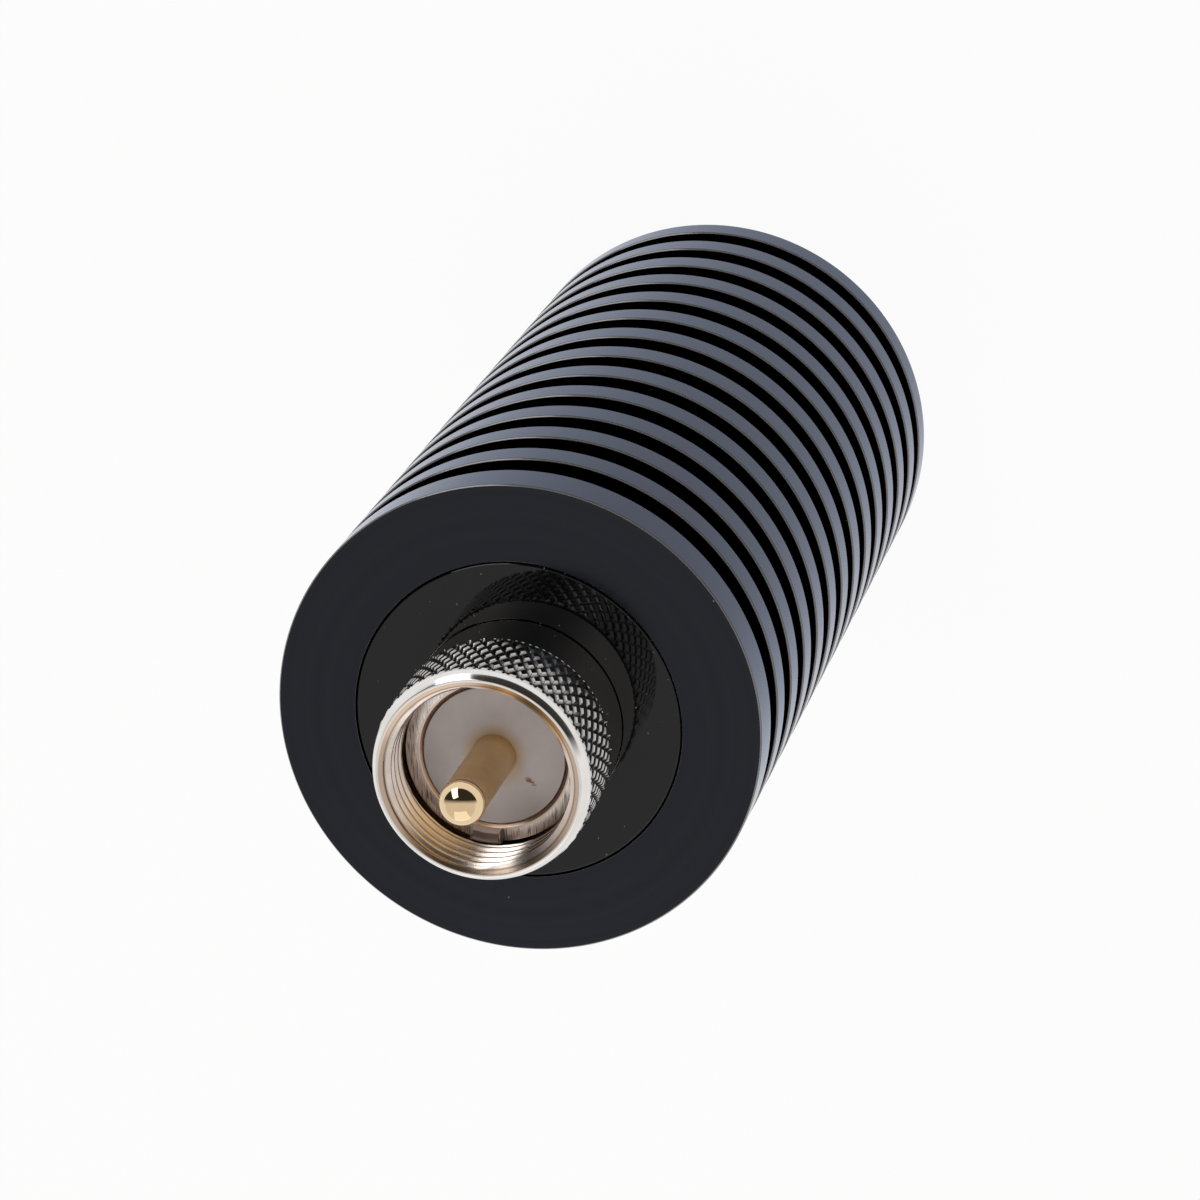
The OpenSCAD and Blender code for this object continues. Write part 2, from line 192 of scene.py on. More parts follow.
def build_dust():
    """Scattered specks of different sizes. Spacing is the distance between places for a speck."""
    group, given, result = start_group("dust", ["Spacing", "Share", "Size"], ["Mask"])
    place = put(group, "ShaderNodeTexCoord", {}).outputs["Object"]
    fine = put(group, "ShaderNodeMath", {0: 1, 1: given["Spacing"]}, operation="DIVIDE").outputs[0]
    cells = put(group, "ShaderNodeTexVoronoi", {"Vector": place, "Scale": fine, "Randomness": 1})
    chance = put(group, "ShaderNodeSeparateColor", {0: cells.outputs["Color"]}).outputs
    kept = put(group, "ShaderNodeMath", {0: chance[0], 1: given["Share"]}, operation="LESS_THAN").outputs[0]
    reach = put(group, "ShaderNodeMath", {0: chance[1], 1: given["Size"]}, operation="MULTIPLY").outputs[0]
    near = put(group, "ShaderNodeMath", {0: reach, 1: cells.outputs["Distance"]}, operation="SUBTRACT")
    edge = put(group, "ShaderNodeMapRange", {"Value": near.outputs[0], "From Max": 0.05}).outputs[0]
    shown = put(group, "ShaderNodeMath", {0: edge, 1: kept}, operation="MULTIPLY").outputs[0]
    group.links.new(shown, result["Mask"])
    return group


turning_marks = build_turning_marks()
dust = build_dust()


def start_finish(name, plain):
    """A new material, with plain values set on its shader's own sockets."""
    material = bpy.data.materials.new(name)
    material.use_nodes = True
    shader = material.node_tree.nodes["Principled BSDF"]
    for socket, value in plain.items():
        shader.inputs[socket].default_value = value
    return material, material.node_tree, shader


def mark_turning(tree, shader, feed, strength):
    """Gives the shader the lathe rings as a fine bump, and returns the group's outputs."""
    marks = put(tree, "ShaderNodeGroup", {}, node_tree=turning_marks)
    marks.inputs["Feed"].default_value = feed
    bump = put(tree, "ShaderNodeBump", {"Height": marks.outputs["Ridge"], "Strength": strength})
    bump.inputs["Distance"].default_value = RIDGE_HEIGHT
    tree.links.new(bump.outputs[0], shader.inputs["Normal"])
    return marks.outputs


def between(tree, value, low, high):
    """Mask that rises from 0 at low to 1 at high."""
    return put(tree, "ShaderNodeMapRange", {"Value": value, "From Min": low, "From Max": high}).outputs[0]


def scatter_dust(tree, spacing, share, size):
    """Mask of dust specks."""
    specks = put(tree, "ShaderNodeGroup", {}, node_tree=dust)
    for socket, value in (("Spacing", spacing), ("Share", share), ("Size", size)):
        specks.inputs[socket].default_value = value
    return specks.outputs["Mask"]


def black_anodise():
    """Dyed oxide on metal, bluish at a slant, with dust on it and a painted highlight on its front edges."""
    material, tree, shader = start_finish("black anodise", {"Specular Tint": SLANT_TINT})
    tone = mark_turning(tree, shader, feed=0.12 * MM, strength=0.08)["Tone"]
    facing = put(tree, "ShaderNodeTexCoord", {}).outputs["Normal"]
    forward = put(tree, "ShaderNodeSeparateXYZ", {0: facing}).outputs["Z"]
    # Bevels that face forward are painted pale and less metallic: a painted highlight along the rims' front
    # edges.
    off_rim = between(tree, forward, 0.5, 0.68)
    off_wall = between(tree, forward, 0.95, 0.8)
    front_edge_highlight = put(tree, "ShaderNodeMath", {0: off_rim, 1: off_wall}, operation="MULTIPLY").outputs[0]
    specks = scatter_dust(tree, spacing=1.1 * MM, share=0.08, size=0.10)
    pale = put(tree, "ShaderNodeMath", {0: specks, 1: front_edge_highlight}, operation="MAXIMUM").outputs[0]
    dye = tinted(tree, tone, DYE, DYE_FADED)
    tree.links.new(tinted(tree, pale, dye, DUST_AND_EDGE_HIGHLIGHT), shader.inputs["Base Color"])
    tree.links.new(spread(tree, pale, 1, 0.2), shader.inputs["Metallic"])
    tree.links.new(spread(tree, tone, 0.10, 0.18), shader.inputs["Roughness"])
    return material


def body_outline():
    """Up the outside past each groove, over the front face, and down the recess and the bore."""
    points = [(0, 0), (body_r - EDGE_BEVEL, 0), (body_r, EDGE_BEVEL)]
    core_r = body_r - GROOVE_DEPTH
    for i in range(GROOVE_COUNT):
        low = REAR_BAND + i * FIN_PITCH
        high = low + GROOVE_W
        points += [(body_r, low - EDGE_BEVEL), (body_r - EDGE_BEVEL, low), (core_r, low)]
        points += [(core_r, high), (body_r - EDGE_BEVEL, high), (body_r, high + EDGE_BEVEL)]
    points += [(body_r, body_len - EDGE_BEVEL), (body_r - EDGE_BEVEL, body_len), (RECESS_R, body_len)]
    ledge = body_len - RECESS_DEPTH
    points += [(RECESS_R, ledge), (BORE_R, ledge), (BORE_R, REAR_WALL), (EARTH_HOLE_R, REAR_WALL)]
    points += [(EARTH_HOLE_R, REAR_WALL - EARTH_HOLE_DEPTH), (0, REAR_WALL - EARTH_HOLE_DEPTH)]
    return points


body_shape = turned(softened(body_outline(), EDGE_SOFTNESS), BODY_COLUMNS)
make_piece("finned_body", body_shape, black_anodise(), "heat_sink", "load")

# Resistor and its sleeve
# A ceramic tube with a resistive film sits in two brass cups. A white ceramic sleeve takes its
# heat to the body, and a steel screw with a split washer earths the rear cup.
PATCH = 2.5 * MM


def build_tarnish():
    """Soft cloudy patches, as handling leaves on plating and on fired ceramic."""
    group, given, result = start_group("tarnish", ["Patch"], ["Mask"])
    place = put(group, "ShaderNodeTexCoord", {}).outputs["Object"]
    fine = put(group, "ShaderNodeMath", {0: 1, 1: given["Patch"]}, operation="DIVIDE").outputs[0]
    cloud = put(group, "ShaderNodeTexNoise", {"Vector": place, "Scale": fine, "Detail": 4, "Roughness": 0.6})
    even = put(group, "ShaderNodeMapRange", {"Value": cloud.outputs[0], "From Min": 0.35, "From Max": 0.7})
    group.links.new(even.outputs[0], result["Mask"])
    return group


tarnish = build_tarnish()


def patches(tree, size):
    """Mask of cloudy patches of about that size."""
    cloud = put(tree, "ShaderNodeGroup", {}, node_tree=tarnish)
    cloud.inputs["Patch"].default_value = size
    return cloud.outputs["Mask"]


def turned_metal(name, bright, dull, smooth, rough, feed, ridges):
    """Metal from the lathe: bright to dull in patches, smooth to rough in rings."""
    material, tree, shader = start_finish(name, {"Metallic": 1})
    tone = mark_turning(tree, shader, feed, ridges)["Tone"]
    tree.links.new(tinted(tree, patches(tree, PATCH), bright, dull), shader.inputs["Base Color"])
    tree.links.new(spread(tree, tone, smooth, rough), shader.inputs["Roughness"])
    return material


def fired_ceramic(name, pale, dark, smooth, rough):
    """Ceramic or a film on it, with cloudy patches of tone and of gloss."""
    material, tree, shader = start_finish(name, {"Metallic": 0})
    cloud = patches(tree, PATCH)
    tree.links.new(tinted(tree, cloud, pale, dark), shader.inputs["Base Color"])
    tree.links.new(spread(tree, cloud, smooth, rough), shader.inputs["Roughness"])
    mark_turning(tree, shader, feed=0.4 * MM, strength=0.05)
    return material


def finish_nodes(material, *nodes):
    """Solids that need no finer shape keep their own mesh and take the material."""
    for node in nodes:
        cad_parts[node].material_slots[0].material = material


white_ceramic = fired_ceramic(
    "white ceramic",
    pale=(0.80, 0.78, 0.74),
    dark=(0.72, 0.69, 0.64),
    smooth=0.55,
    rough=0.7,
)
brown_film = fired_ceramic(
    "brown film",
    pale=(0.10, 0.07, 0.05),
    dark=(0.07, 0.05, 0.035),
    smooth=0.35,
    rough=0.5,
)
brass = turned_metal(
    "turned brass",
    bright=(0.72, 0.55, 0.26),
    dull=(0.60, 0.44, 0.20),
    smooth=0.2,
    rough=0.35,
    feed=0.1 * MM,
    ridges=0.15,
)
steel = turned_metal(
    "plain steel",
    bright=(0.45, 0.45, 0.46),
    dull=(0.37, 0.37, 0.38),
    smooth=0.3,
    rough=0.42,
    feed=0.12 * MM,
    ridges=0.15,
)
finish_nodes(white_ceramic, "thermal_sleeve")
finish_nodes(brown_film, "resistor_tube")
finish_nodes(brass, "hot_cap", "earth_cap")
finish_nodes(steel, "split_washer", "earth_screw")

# Plug shell
# Turned brass under nickel plate: a rim with two locating teeth, the neck that the nut runs on,
# and a threaded spigot through the plate. The rim's face still shows the lathe and fine scratches.
shell_low, shell_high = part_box("plug_shell")
RIM_R = 7.3975 * MM
RIM_BOTTOM = 88 * MM
RIM_TOP = 90 * MM
RIM_SEAT_R = 5.95 * MM
RIM_SEAT_FLOOR = 88.8 * MM
RIM_BEVEL = 0.3 * MM
SEAT_SHADE_W = 0.44 * MM
NECK_R = 6.1 * MM
NECK_BOTTOM = 85 * MM
SPIGOT_R = 5.55 * MM
SHELL_BORE_R = 4.3 * MM
WEB_BORE_R = 2.6 * MM
WEB_TOP = 86.2 * MM
TOOTH_BEARINGS = (117, 297)
TOOTH_HALF_TURN = 10.5
TOOTH_SOFTNESS = 0.2 * MM
TOOTH_BROW = math.radians(60)
STROKE = (0.1 * MM, 1.4 * MM, 0.1 * MM)
STROKE_BEARING = 36
BRIGHT_STROKE_FROM = (0.48, 0.66)
DARK_STROKE_FROM = (0.44, 0.34)
SHELL_COLUMNS = 360
PLUG_SOFTNESS = 0.06 * MM
SHELL_PLATE = (0.74, 0.66, 0.61)
SHELL_PLATE_DULL = (0.62, 0.54, 0.48)
BRIGHT_STROKE = (0.92, 0.90, 0.89)
DARK_STROKE = (0.22, 0.19, 0.18)
SEAT_SHADE_BROWN = (0.60, 0.47, 0.38)
TOOTH_PLATE = (0.84, 0.73, 0.68)
TOOTH_ROUGHNESS = 0.55


def shell_outline():
    """From the spigot's rear end up to the rim, and down through the seat and the bore."""
    return [
        (SHELL_BORE_R, shell_low.z),
        (SPIGOT_R, shell_low.z),
        (SPIGOT_R, NECK_BOTTOM),
        (NECK_R, NECK_BOTTOM),
        (NECK_R, RIM_BOTTOM),
        (RIM_R, RIM_BOTTOM),
        (RIM_R, RIM_TOP),
        (RIM_SEAT_R + RIM_BEVEL, RIM_TOP),
        (RIM_SEAT_R, RIM_TOP - RIM_BEVEL),
        (RIM_SEAT_R, RIM_SEAT_FLOOR),
        (SHELL_BORE_R, RIM_SEAT_FLOOR),
        (SHELL_BORE_R, WEB_TOP),
        (WEB_BORE_R, WEB_TOP),
        (WEB_BORE_R, NECK_BOTTOM),
        (SHELL_BORE_R, NECK_BOTTOM),
    ]


def on_tooth(face):
    """True for a face of the rim's flat top that lies under a locating tooth."""
    middle = face.calc_center_median()
    bearing = math.degrees(math.atan2(middle.y, middle.x)) % 360
    flat_top = abs(middle.z - RIM_TOP) < 0.01 * MM and face.normal.z > 0.99
    return flat_top and any(abs(bearing - tooth) < TOOTH_HALF_TURN for tooth in TOOTH_BEARINGS)


def raise_teeth(shape):
    """Lifts the rim's top into teeth and softens their upper edges."""
    shape.normal_update()
    under = [face for face in shape.faces if on_tooth(face)]
    lifted = bmesh.ops.extrude_face_region(shape, geom=under)["geom"]
    bmesh.ops.delete(shape, geom=under, context="FACES_ONLY")
    top = [item for item in lifted if isinstance(item, bmesh.types.BMVert)]
    bmesh.ops.translate(shape, verts=top, vec=(0, 0, shell_high.z - RIM_TOP))
    raised = set(top)
    brow = [e for e in shape.edges if raised.issuperset(e.verts) and e.calc_face_angle(0) > TOOTH_BROW]
    bmesh.ops.bevel(shape, geom=brow, offset=TOOTH_SOFTNESS, segments=3, affect="EDGES", profile=0.5)


def scratched_nickel():
    """Nickel with lathe rings under straight brush strokes, and brown painted shade round the seat."""
    material, tree, shader = start_finish("scratched nickel", {"Metallic": 1})
    marks = mark_turning(tree, shader, feed=0.05 * MM, strength=0.2)
    place = put(tree, "ShaderNodeTexCoord", {}).outputs["Object"]
    drawn = put(tree, "ShaderNodeMapping", {"Vector": place, "Scale": STROKE}, vector_type="TEXTURE")
    drawn.inputs["Rotation"].default_value = (0, 0, math.radians(STROKE_BEARING))
    stroke = put(tree, "ShaderNodeTexNoise", {"Vector": drawn.outputs[0], "Scale": 1, "Detail": 2}).outputs[0]
    plate = tinted(tree, patches(tree, PATCH), SHELL_PLATE, SHELL_PLATE_DULL)
    worn = tinted(tree, between(tree, stroke, *BRIGHT_STROKE_FROM), plate, BRIGHT_STROKE)
    cut = tinted(tree, between(tree, stroke, *DARK_STROKE_FROM), worn, DARK_STROKE)
    # The brown ring round the seat is painted shade and a painted reflection of the insulator's edge.
    seat_shade_r = RIM_SEAT_R + SEAT_SHADE_W
    seat_shade = between(tree, marks["Radius"], seat_shade_r + 0.03 * MM, seat_shade_r - 0.03 * MM)
    face = tinted(tree, seat_shade, cut, SEAT_SHADE_BROWN)
    tooth = between(tree, marks["Height"], RIM_TOP + 0.02 * MM, RIM_TOP + 0.1 * MM)
    tree.links.new(tinted(tree, tooth, face, TOOTH_PLATE), shader.inputs["Base Color"])
    turned_face = spread(tree, marks["Tone"], 0.22, 0.36)
    satin = put(tree, "ShaderNodeMix", {2: turned_face, 3: TOOTH_ROUGHNESS, "Factor": tooth})
    tree.links.new(satin.outputs[0], shader.inputs["Roughness"])
    return material


shell_shape = turned(softened(shell_outline(), PLUG_SOFTNESS), SHELL_COLUMNS)
raise_teeth(shell_shape)
make_piece("plug_rim_and_spigot", shell_shape, scratched_nickel(), "plug_shell", "load")

# Coupling nut
# Turned brass with a diamond knurl rolled on the outside and a right-handed thread of 24 turns
# to the inch inside, all nickel plated. Its inward flange is trapped behind the shell's rim.
nut_low, nut_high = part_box("coupling_nut")
knurl_r = nut_high.x
KNURL_TEETH = 48
KNURL_STEPS = 10
KNURL_ANGLE = math.radians(30)
KNURL_DEPTH = 0.24 * MM
KNURL_FLANK = 0.2
KNURL_RUNOUT = 0.8 * MM
KNURL_SHARP = math.radians(24)
REAR_BEVEL = 0.2 * MM
BEVEL_LEN = 0.66 * MM
BEVEL_DROP = 0.27 * MM
NOSE_LEN = 0.52 * MM
NOSE_DROP = 0.38 * MM
LIP_W = 0.2 * MM
FLANGE_R = 6.2 * MM
FLANGE_T = 1.0 * MM
THREAD_ROOT_R = 7.9375 * MM
THREAD_CREST_R = 7.4 * MM
THREAD_PITCH = 25.4 * MM / 24
THREAD_ROWS = 22
MOUTH_SLOPE = 1.7
RELIEF_TOP = 90.15 * MM
NUT_PLATE = (0.80, 0.78, 0.76)
NUT_PLATE_DULL = (0.72, 0.69, 0.66)
KNURL_SHADED_PLATE = (0.58, 0.565, 0.55)
KNURL_GROOVE_SHADE = (0.15, 0.145, 0.14)
THIN_PLATE = (0.76, 0.68, 0.63)
THIN_PLATE_DULL = (0.64, 0.55, 0.49)
THREAD_ROOT_SHADE = (0.30, 0.22, 0.16)
WORN_MOUTH = (0.54, 0.42, 0.33)
BORE_ROUGHNESS = 0.2

nut_columns = KNURL_TEETH * KNURL_STEPS
diamond_len = 2 * math.pi * knurl_r / KNURL_TEETH / math.tan(KNURL_ANGLE)
nose_low = nut_high.z - NOSE_LEN
nose_r = knurl_r - BEVEL_DROP
mouth_r = nose_r - NOSE_DROP - LIP_W
flange_top = nut_low.z + FLANGE_T


def knurled_r(turn, height):
    """Radius of the knurl, which runs out at the front. The bevels at both ends cut it back."""
    around = turn / (2 * math.pi) * KNURL_TEETH
    along = height / diamond_len + 0.25
    groove = min(abs(line - round(line)) for line in (around + along, around - along))
    runout = min(1, max(0, (nose_low - 0.4 * BEVEL_LEN - height) / KNURL_RUNOUT))
    rolled = knurl_r - KNURL_DEPTH * runout * (1 - min(groove / KNURL_FLANK, 1))
    front = knurl_r - BEVEL_DROP * (height - nose_low + BEVEL_LEN) / BEVEL_LEN
    rear = knurl_r - REAR_BEVEL + height - nut_low.z
    return min(rolled, front, rear)


def thread_r(turn, height):
    """Radius of the worn, rounded thread, which cones cut off at the mouth and at the relief."""
    phase = 2 * math.pi * height / THREAD_PITCH - turn
    worn_r = THREAD_CREST_R + (THREAD_ROOT_R - THREAD_CREST_R) * (0.5 - 0.5 * math.cos(phase))
    mouth_cone = mouth_r - MOUTH_SLOPE * (nut_high.z - height)
    relief_cone = THREAD_ROOT_R - (height - RELIEF_TOP)
    return max(worn_r, mouth_cone, relief_cone)


def nut_ring(shape, radius, height, shift=0):
    """One ring of the nut. The radius may change round the ring, and shift moves it by columns."""
    ring = []
    for i in range(nut_columns):
        turn = 2 * math.pi * (i + shift) / nut_columns
        r = radius(turn, height) if callable(radius) else radius
        ring.append(shape.verts.new((r * math.cos(turn), r * math.sin(turn), height)))
    return ring


def zigzag(shape, low, high, low_shifted):
    """Joins two rings half a column apart, so that the edges follow the knurl's grooves."""
    for i in range(nut_columns):
        k = (i + 1) % nut_columns
        if low_shifted:
            shape.faces.new((low[i], low[k], high[k]))
            shape.faces.new((low[i], high[k], high[i]))
        else:
            shape.faces.new((low[i], low[k], high[i]))
            shape.faces.new((high[i], low[k], high[k]))


def knurl_rings(shape):
    """The knurled outside, from the rear face to the front face."""
    row = diamond_len / (2 * KNURL_STEPS)
    count = 2 * int((nose_low - nut_low.z) / row / 2)
    rings = []
    for j in range(count + 1):
        shifted = j % 2
        rings.append(nut_ring(shape, knurled_r, nut_low.z + j * row, 0.5 * shifted))
        if j:
            zigzag(shape, rings[-2], rings[-1], not shifted)
    return rings


def front_rings(shape):
    """The sloped nose, its flat lip, the mouth, and the thread down to its relief."""
    corners = [
        (knurl_r, nose_low - BEVEL_LEN),
        (nose_r, nose_low),
        (mouth_r + LIP_W, nut_high.z),
        (mouth_r, nut_high.z),
        (mouth_r - MOUTH_SLOPE * LIP_W, nut_high.z - LIP_W),
    ]
    rings = [nut_ring(shape, *point) for point in softened(corners, PLUG_SOFTNESS)[4:-4]]
    thread_top = nut_high.z - 0.6 * PLUG_SOFTNESS
    count = int((thread_top - RELIEF_TOP) / THREAD_PITCH * THREAD_ROWS)
    for j in range(count + 1):
        rings.append(nut_ring(shape, thread_r, thread_top + (RELIEF_TOP - thread_top) * j / count))
    return rings


def rear_rings(shape):
    """The relief, the inward flange and the rear face."""
    corners = [
        (THREAD_ROOT_R, RELIEF_TOP),
        (THREAD_ROOT_R, flange_top),
        (FLANGE_R, flange_top),
        (FLANGE_R, nut_low.z),
        (knurl_r - REAR_BEVEL, nut_low.z),
    ]
    return [nut_ring(shape, *point) for point in softened(corners, PLUG_SOFTNESS)[4:-4]]


def build_nut():
    """The whole nut as one loop of rings: the knurl, the front, and back to the rear edge."""
    shape = bmesh.new()
    knurl = knurl_rings(shape)
    rings = [knurl[-1], *front_rings(shape), *rear_rings(shape), knurl[0]]
    for low, high in zip(rings, rings[1:]):
        for i in range(nut_columns):
            k = (i + 1) % nut_columns
            shape.faces.new((low[i], low[k], high[k], high[i]))
    return shape


def nut_nickel():
    """Bright nickel outside, with painted shade darkening the knurl and its grooves. Inside the plate is
    thin, the brass under it shows warm, and the thread's roots get painted shade.
    """
    material, tree, shader = start_finish("nut nickel", {"Metallic": 1})
    marks = mark_turning(tree, shader, feed=0.06 * MM, strength=0.05)
    cloud = patches(tree, PATCH)
    plate = tinted(tree, cloud, NUT_PLATE, NUT_PLATE_DULL)
    # The knurl is painted darker than the plate, and darker still down its grooves: painted shade.
    groove_shade = between(tree, marks["Radius"], knurl_r, knurl_r - 0.8 * KNURL_DEPTH)
    knurl_painted_shade = tinted(tree, groove_shade, KNURL_SHADED_PLATE, KNURL_GROOVE_SHADE)
    knurl = between(tree, marks["Height"], nose_low - 0.5 * BEVEL_LEN, nose_low - BEVEL_LEN)
    outside = tinted(tree, knurl, plate, knurl_painted_shade)
    inside = tinted(tree, cloud, THIN_PLATE, THIN_PLATE_DULL)
    # The thread's roots are painted dark: painted shade where the crests hide them.
    root_shade = between(tree, marks["Radius"], THREAD_ROOT_R - 0.16 * MM, THREAD_ROOT_R - 0.04 * MM)
    root_shaded = tinted(tree, root_shade, inside, THREAD_ROOT_SHADE)
    mouth = between(tree, marks["Radius"], THREAD_ROOT_R, THREAD_ROOT_R + 0.05 * MM)
    worn = tinted(tree, mouth, root_shaded, WORN_MOUTH)
    bore = between(tree, marks["Radius"], mouth_r + 0.04 * MM, mouth_r - 0.02 * MM)
    tree.links.new(tinted(tree, bore, outside, worn), shader.inputs["Base Color"])
    bright = spread(tree, marks["Tone"], 0.07, 0.14)
    satin = put(tree, "ShaderNodeMix", {2: bright, 3: BORE_ROUGHNESS, "Factor": bore})
    tree.links.new(satin.outputs[0], shader.inputs["Roughness"])
    return material


nut = make_piece("knurled_nut", build_nut(), nut_nickel(), "coupling_nut", "nut")
nut.data.set_sharp_from_angle(angle=KNURL_SHARP)

# Insulators
# Two white waxy bushes hold the pin on the axis, one from each end of the shell. The front one
# shows inside the rim, with a painted reflection of the gold pin round its hole, a brown blot and a few
# specks.
insulator_low, insulator_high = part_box("front_insulator")
INSULATOR_R = 5.9 * MM
INSULATOR_STEM_R = 4.25 * MM
INSULATOR_HOLE_R = 1.75 * MM
INSULATOR_COLUMNS = 192
PIN_REFLECTION_R = 2.9 * MM
BLOT_PLACE = (-3.7 * MM, 0.2 * MM, insulator_high.z)
BLOT_R = 0.8 * MM
BLOT_GRAIN = 0.55 * MM
WAX = (0.62, 0.565, 0.555)
WAX_DULL = (0.57, 0.515, 0.505)
WAX_GLOW = (0.0012, 0.0009, 0.0008)
PIN_REFLECTION_TINT = (0.58, 0.42, 0.24)
BLOT = (0.26, 0.13, 0.06)
DARK_SPECK = (0.13, 0.09, 0.07)


def waxy_white():
    """White wax-like plastic that lets a little light in, with a painted reflection of the gold pin, a blot
    and specks.
    """
    material, tree, shader = start_finish("waxy white", {"Metallic": 0, "Subsurface Weight": 0.15})
    shader.inputs["Subsurface Radius"].default_value = WAX_GLOW
    marks = mark_turning(tree, shader, feed=0.15 * MM, strength=0.12)
    wax = tinted(tree, patches(tree, PATCH), WAX, WAX_DULL)
    # The warm tint round the pin's hole is a painted reflection of the gold pin.
    glow = between(tree, marks["Radius"], PIN_REFLECTION_R, INSULATOR_HOLE_R)
    warm = tinted(tree, glow, wax, PIN_REFLECTION_TINT)
    place = put(tree, "ShaderNodeTexCoord", {}).outputs["Object"]
    away = put(tree, "ShaderNodeVectorMath", {0: place, 1: BLOT_PLACE}, operation="DISTANCE").outputs["Value"]
    near = between(tree, away, BLOT_R, 0.4 * BLOT_R)
    ragged = between(tree, patches(tree, BLOT_GRAIN), 0.5, 0.65)
    blot = put(tree, "ShaderNodeMath", {0: near, 1: ragged}, operation="MULTIPLY").outputs[0]
    marked = tinted(tree, blot, warm, BLOT)
    specks = scatter_dust(tree, spacing=0.9 * MM, share=0.10, size=0.15)
    tree.links.new(tinted(tree, specks, marked, DARK_SPECK), shader.inputs["Base Color"])
    tree.links.new(spread(tree, marks["Tone"], 0.30, 0.42), shader.inputs["Roughness"])
    return material


insulator_outline = [
    (INSULATOR_HOLE_R, insulator_low.z),
    (INSULATOR_STEM_R, insulator_low.z),
    (INSULATOR_STEM_R, RIM_SEAT_FLOOR),
    (INSULATOR_R, RIM_SEAT_FLOOR),
    (INSULATOR_R, insulator_high.z),
    (INSULATOR_HOLE_R, insulator_high.z),
]
white_insulator = waxy_white()
insulator_shape = turned(softened(insulator_outline, PLUG_SOFTNESS), INSULATOR_COLUMNS)
make_piece("front_bush", insulator_shape, white_insulator, "front_insulator", "load")
finish_nodes(white_insulator, "rear_insulator")

# Centre pin
# Turned brass, gold plated: a satin shaft with a polished ball for a tip. Its stem passes both
# bushes, a ferrule holds it from behind, and its tail plugs into a slotted socket on the resistor.
pin_low, pin_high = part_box("centre_pin")
PIN_R = 1.9 * MM
PIN_STEM_R = 1.7 * MM
PIN_TAIL_R = 1.2 * MM
PIN_STEM_BOTTOM = 71.2 * MM
BALL_BACK = math.radians(15)
BALL_STEPS = 28
PIN_COLUMNS = 128
SHAFT_GOLD = (0.86, 0.62, 0.33)
SHAFT_GOLD_DULL = (0.73, 0.52, 0.27)
BALL_GOLD = (0.77, 0.59, 0.365)
BALL_ROUGHNESS = 0.07
ball_middle = pin_high.z - PIN_R
ball_bottom = ball_middle - PIN_R * math.sin(BALL_BACK)
shaft_r = PIN_R * math.cos(BALL_BACK)


def gold_plate():
    """Gold that is polished on the ball and satin on the shaft below it."""
    material, tree, shader = start_finish("gold plate", {"Metallic": 1})
    marks = mark_turning(tree, shader, feed=0.08 * MM, strength=0.10)
    ball = between(tree, marks["Height"], ball_bottom - 0.05 * MM, ball_bottom + 0.05 * MM)
    shaft = tinted(tree, patches(tree, PATCH), SHAFT_GOLD, SHAFT_GOLD_DULL)
    tree.links.new(tinted(tree, ball, shaft, BALL_GOLD), shader.inputs["Base Color"])
    satin = spread(tree, marks["Tone"], 0.32, 0.44)
    gloss = put(tree, "ShaderNodeMix", {2: satin, 3: BALL_ROUGHNESS, "Factor": ball})
    tree.links.new(gloss.outputs[0], shader.inputs["Roughness"])
    return material


pin_outline = [
    (0, pin_low.z),
    (PIN_TAIL_R, pin_low.z),
    (PIN_TAIL_R, PIN_STEM_BOTTOM),
    (PIN_STEM_R, PIN_STEM_BOTTOM),
    (PIN_STEM_R, insulator_high.z),
    (shaft_r, insulator_high.z),
    (shaft_r, ball_bottom),
]
pin_outline = softened(pin_outline, PLUG_SOFTNESS)[:-4]
for step in range(BALL_STEPS):
    lean = (0.5 * math.pi + BALL_BACK) * step / BALL_STEPS - BALL_BACK
    pin_outline.append((PIN_R * math.cos(lean), ball_middle + PIN_R * math.sin(lean)))
pin_outline.append((0, pin_high.z))
pin_shape = turned(pin_outline, PIN_COLUMNS)
make_piece("gold_pin", pin_shape, gold_plate(), "centre_pin", "load")
finish_nodes(brass, "pin_ferrule", "spring_socket")

# Plate and its fixings
# An aluminium plate closes the bore and carries the plug. Four countersunk screws hold it to the
# body, and a brass lock nut with a toothed washer holds the spigot to it.
aluminium = turned_metal(
    "turned aluminium",
    bright=(0.60, 0.60, 0.61),
    dull=(0.53, 0.53, 0.54),
    smooth=0.26,
    rough=0.4,
    feed=0.1 * MM,
    ridges=0.2,
)
finish_nodes(aluminium, "mounting_plate")
finish_nodes(steel, "plate_screws", "lock_washer")
finish_nodes(brass, "lock_nut")

# Collar
# A polished nickel-plated collar, clamped between the plate and the shell's neck. It stands in
# the disc's hole and keeps the nut off the face.
collar_low, collar_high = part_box("collar")
COLLAR_BEVEL = 0.1 * MM
COLLAR_SEAT_R = 6.15 * MM
COLLAR_HOLE_R = 5.6 * MM
collar_outline = [
    (COLLAR_HOLE_R, collar_low.z),
    (collar_high.x, collar_low.z),
    (collar_high.x, collar_high.z - COLLAR_BEVEL),
    (collar_high.x - COLLAR_BEVEL, collar_high.z),
    (COLLAR_SEAT_R, collar_high.z),
    (COLLAR_SEAT_R, NECK_BOTTOM),
    (COLLAR_HOLE_R, NECK_BOTTOM),
]
nickel = turned_metal(
    "polished nickel",
    bright=(0.78, 0.76, 0.74),
    dull=(0.70, 0.67, 0.64),
    smooth=0.05,
    rough=0.1,
    feed=0.06 * MM,
    ridges=0.04,
)
collar_shape = turned(softened(collar_outline, PLUG_SOFTNESS), BODY_COLUMNS)
make_piece("polished_collar", collar_shape, nickel, "collar", "load")

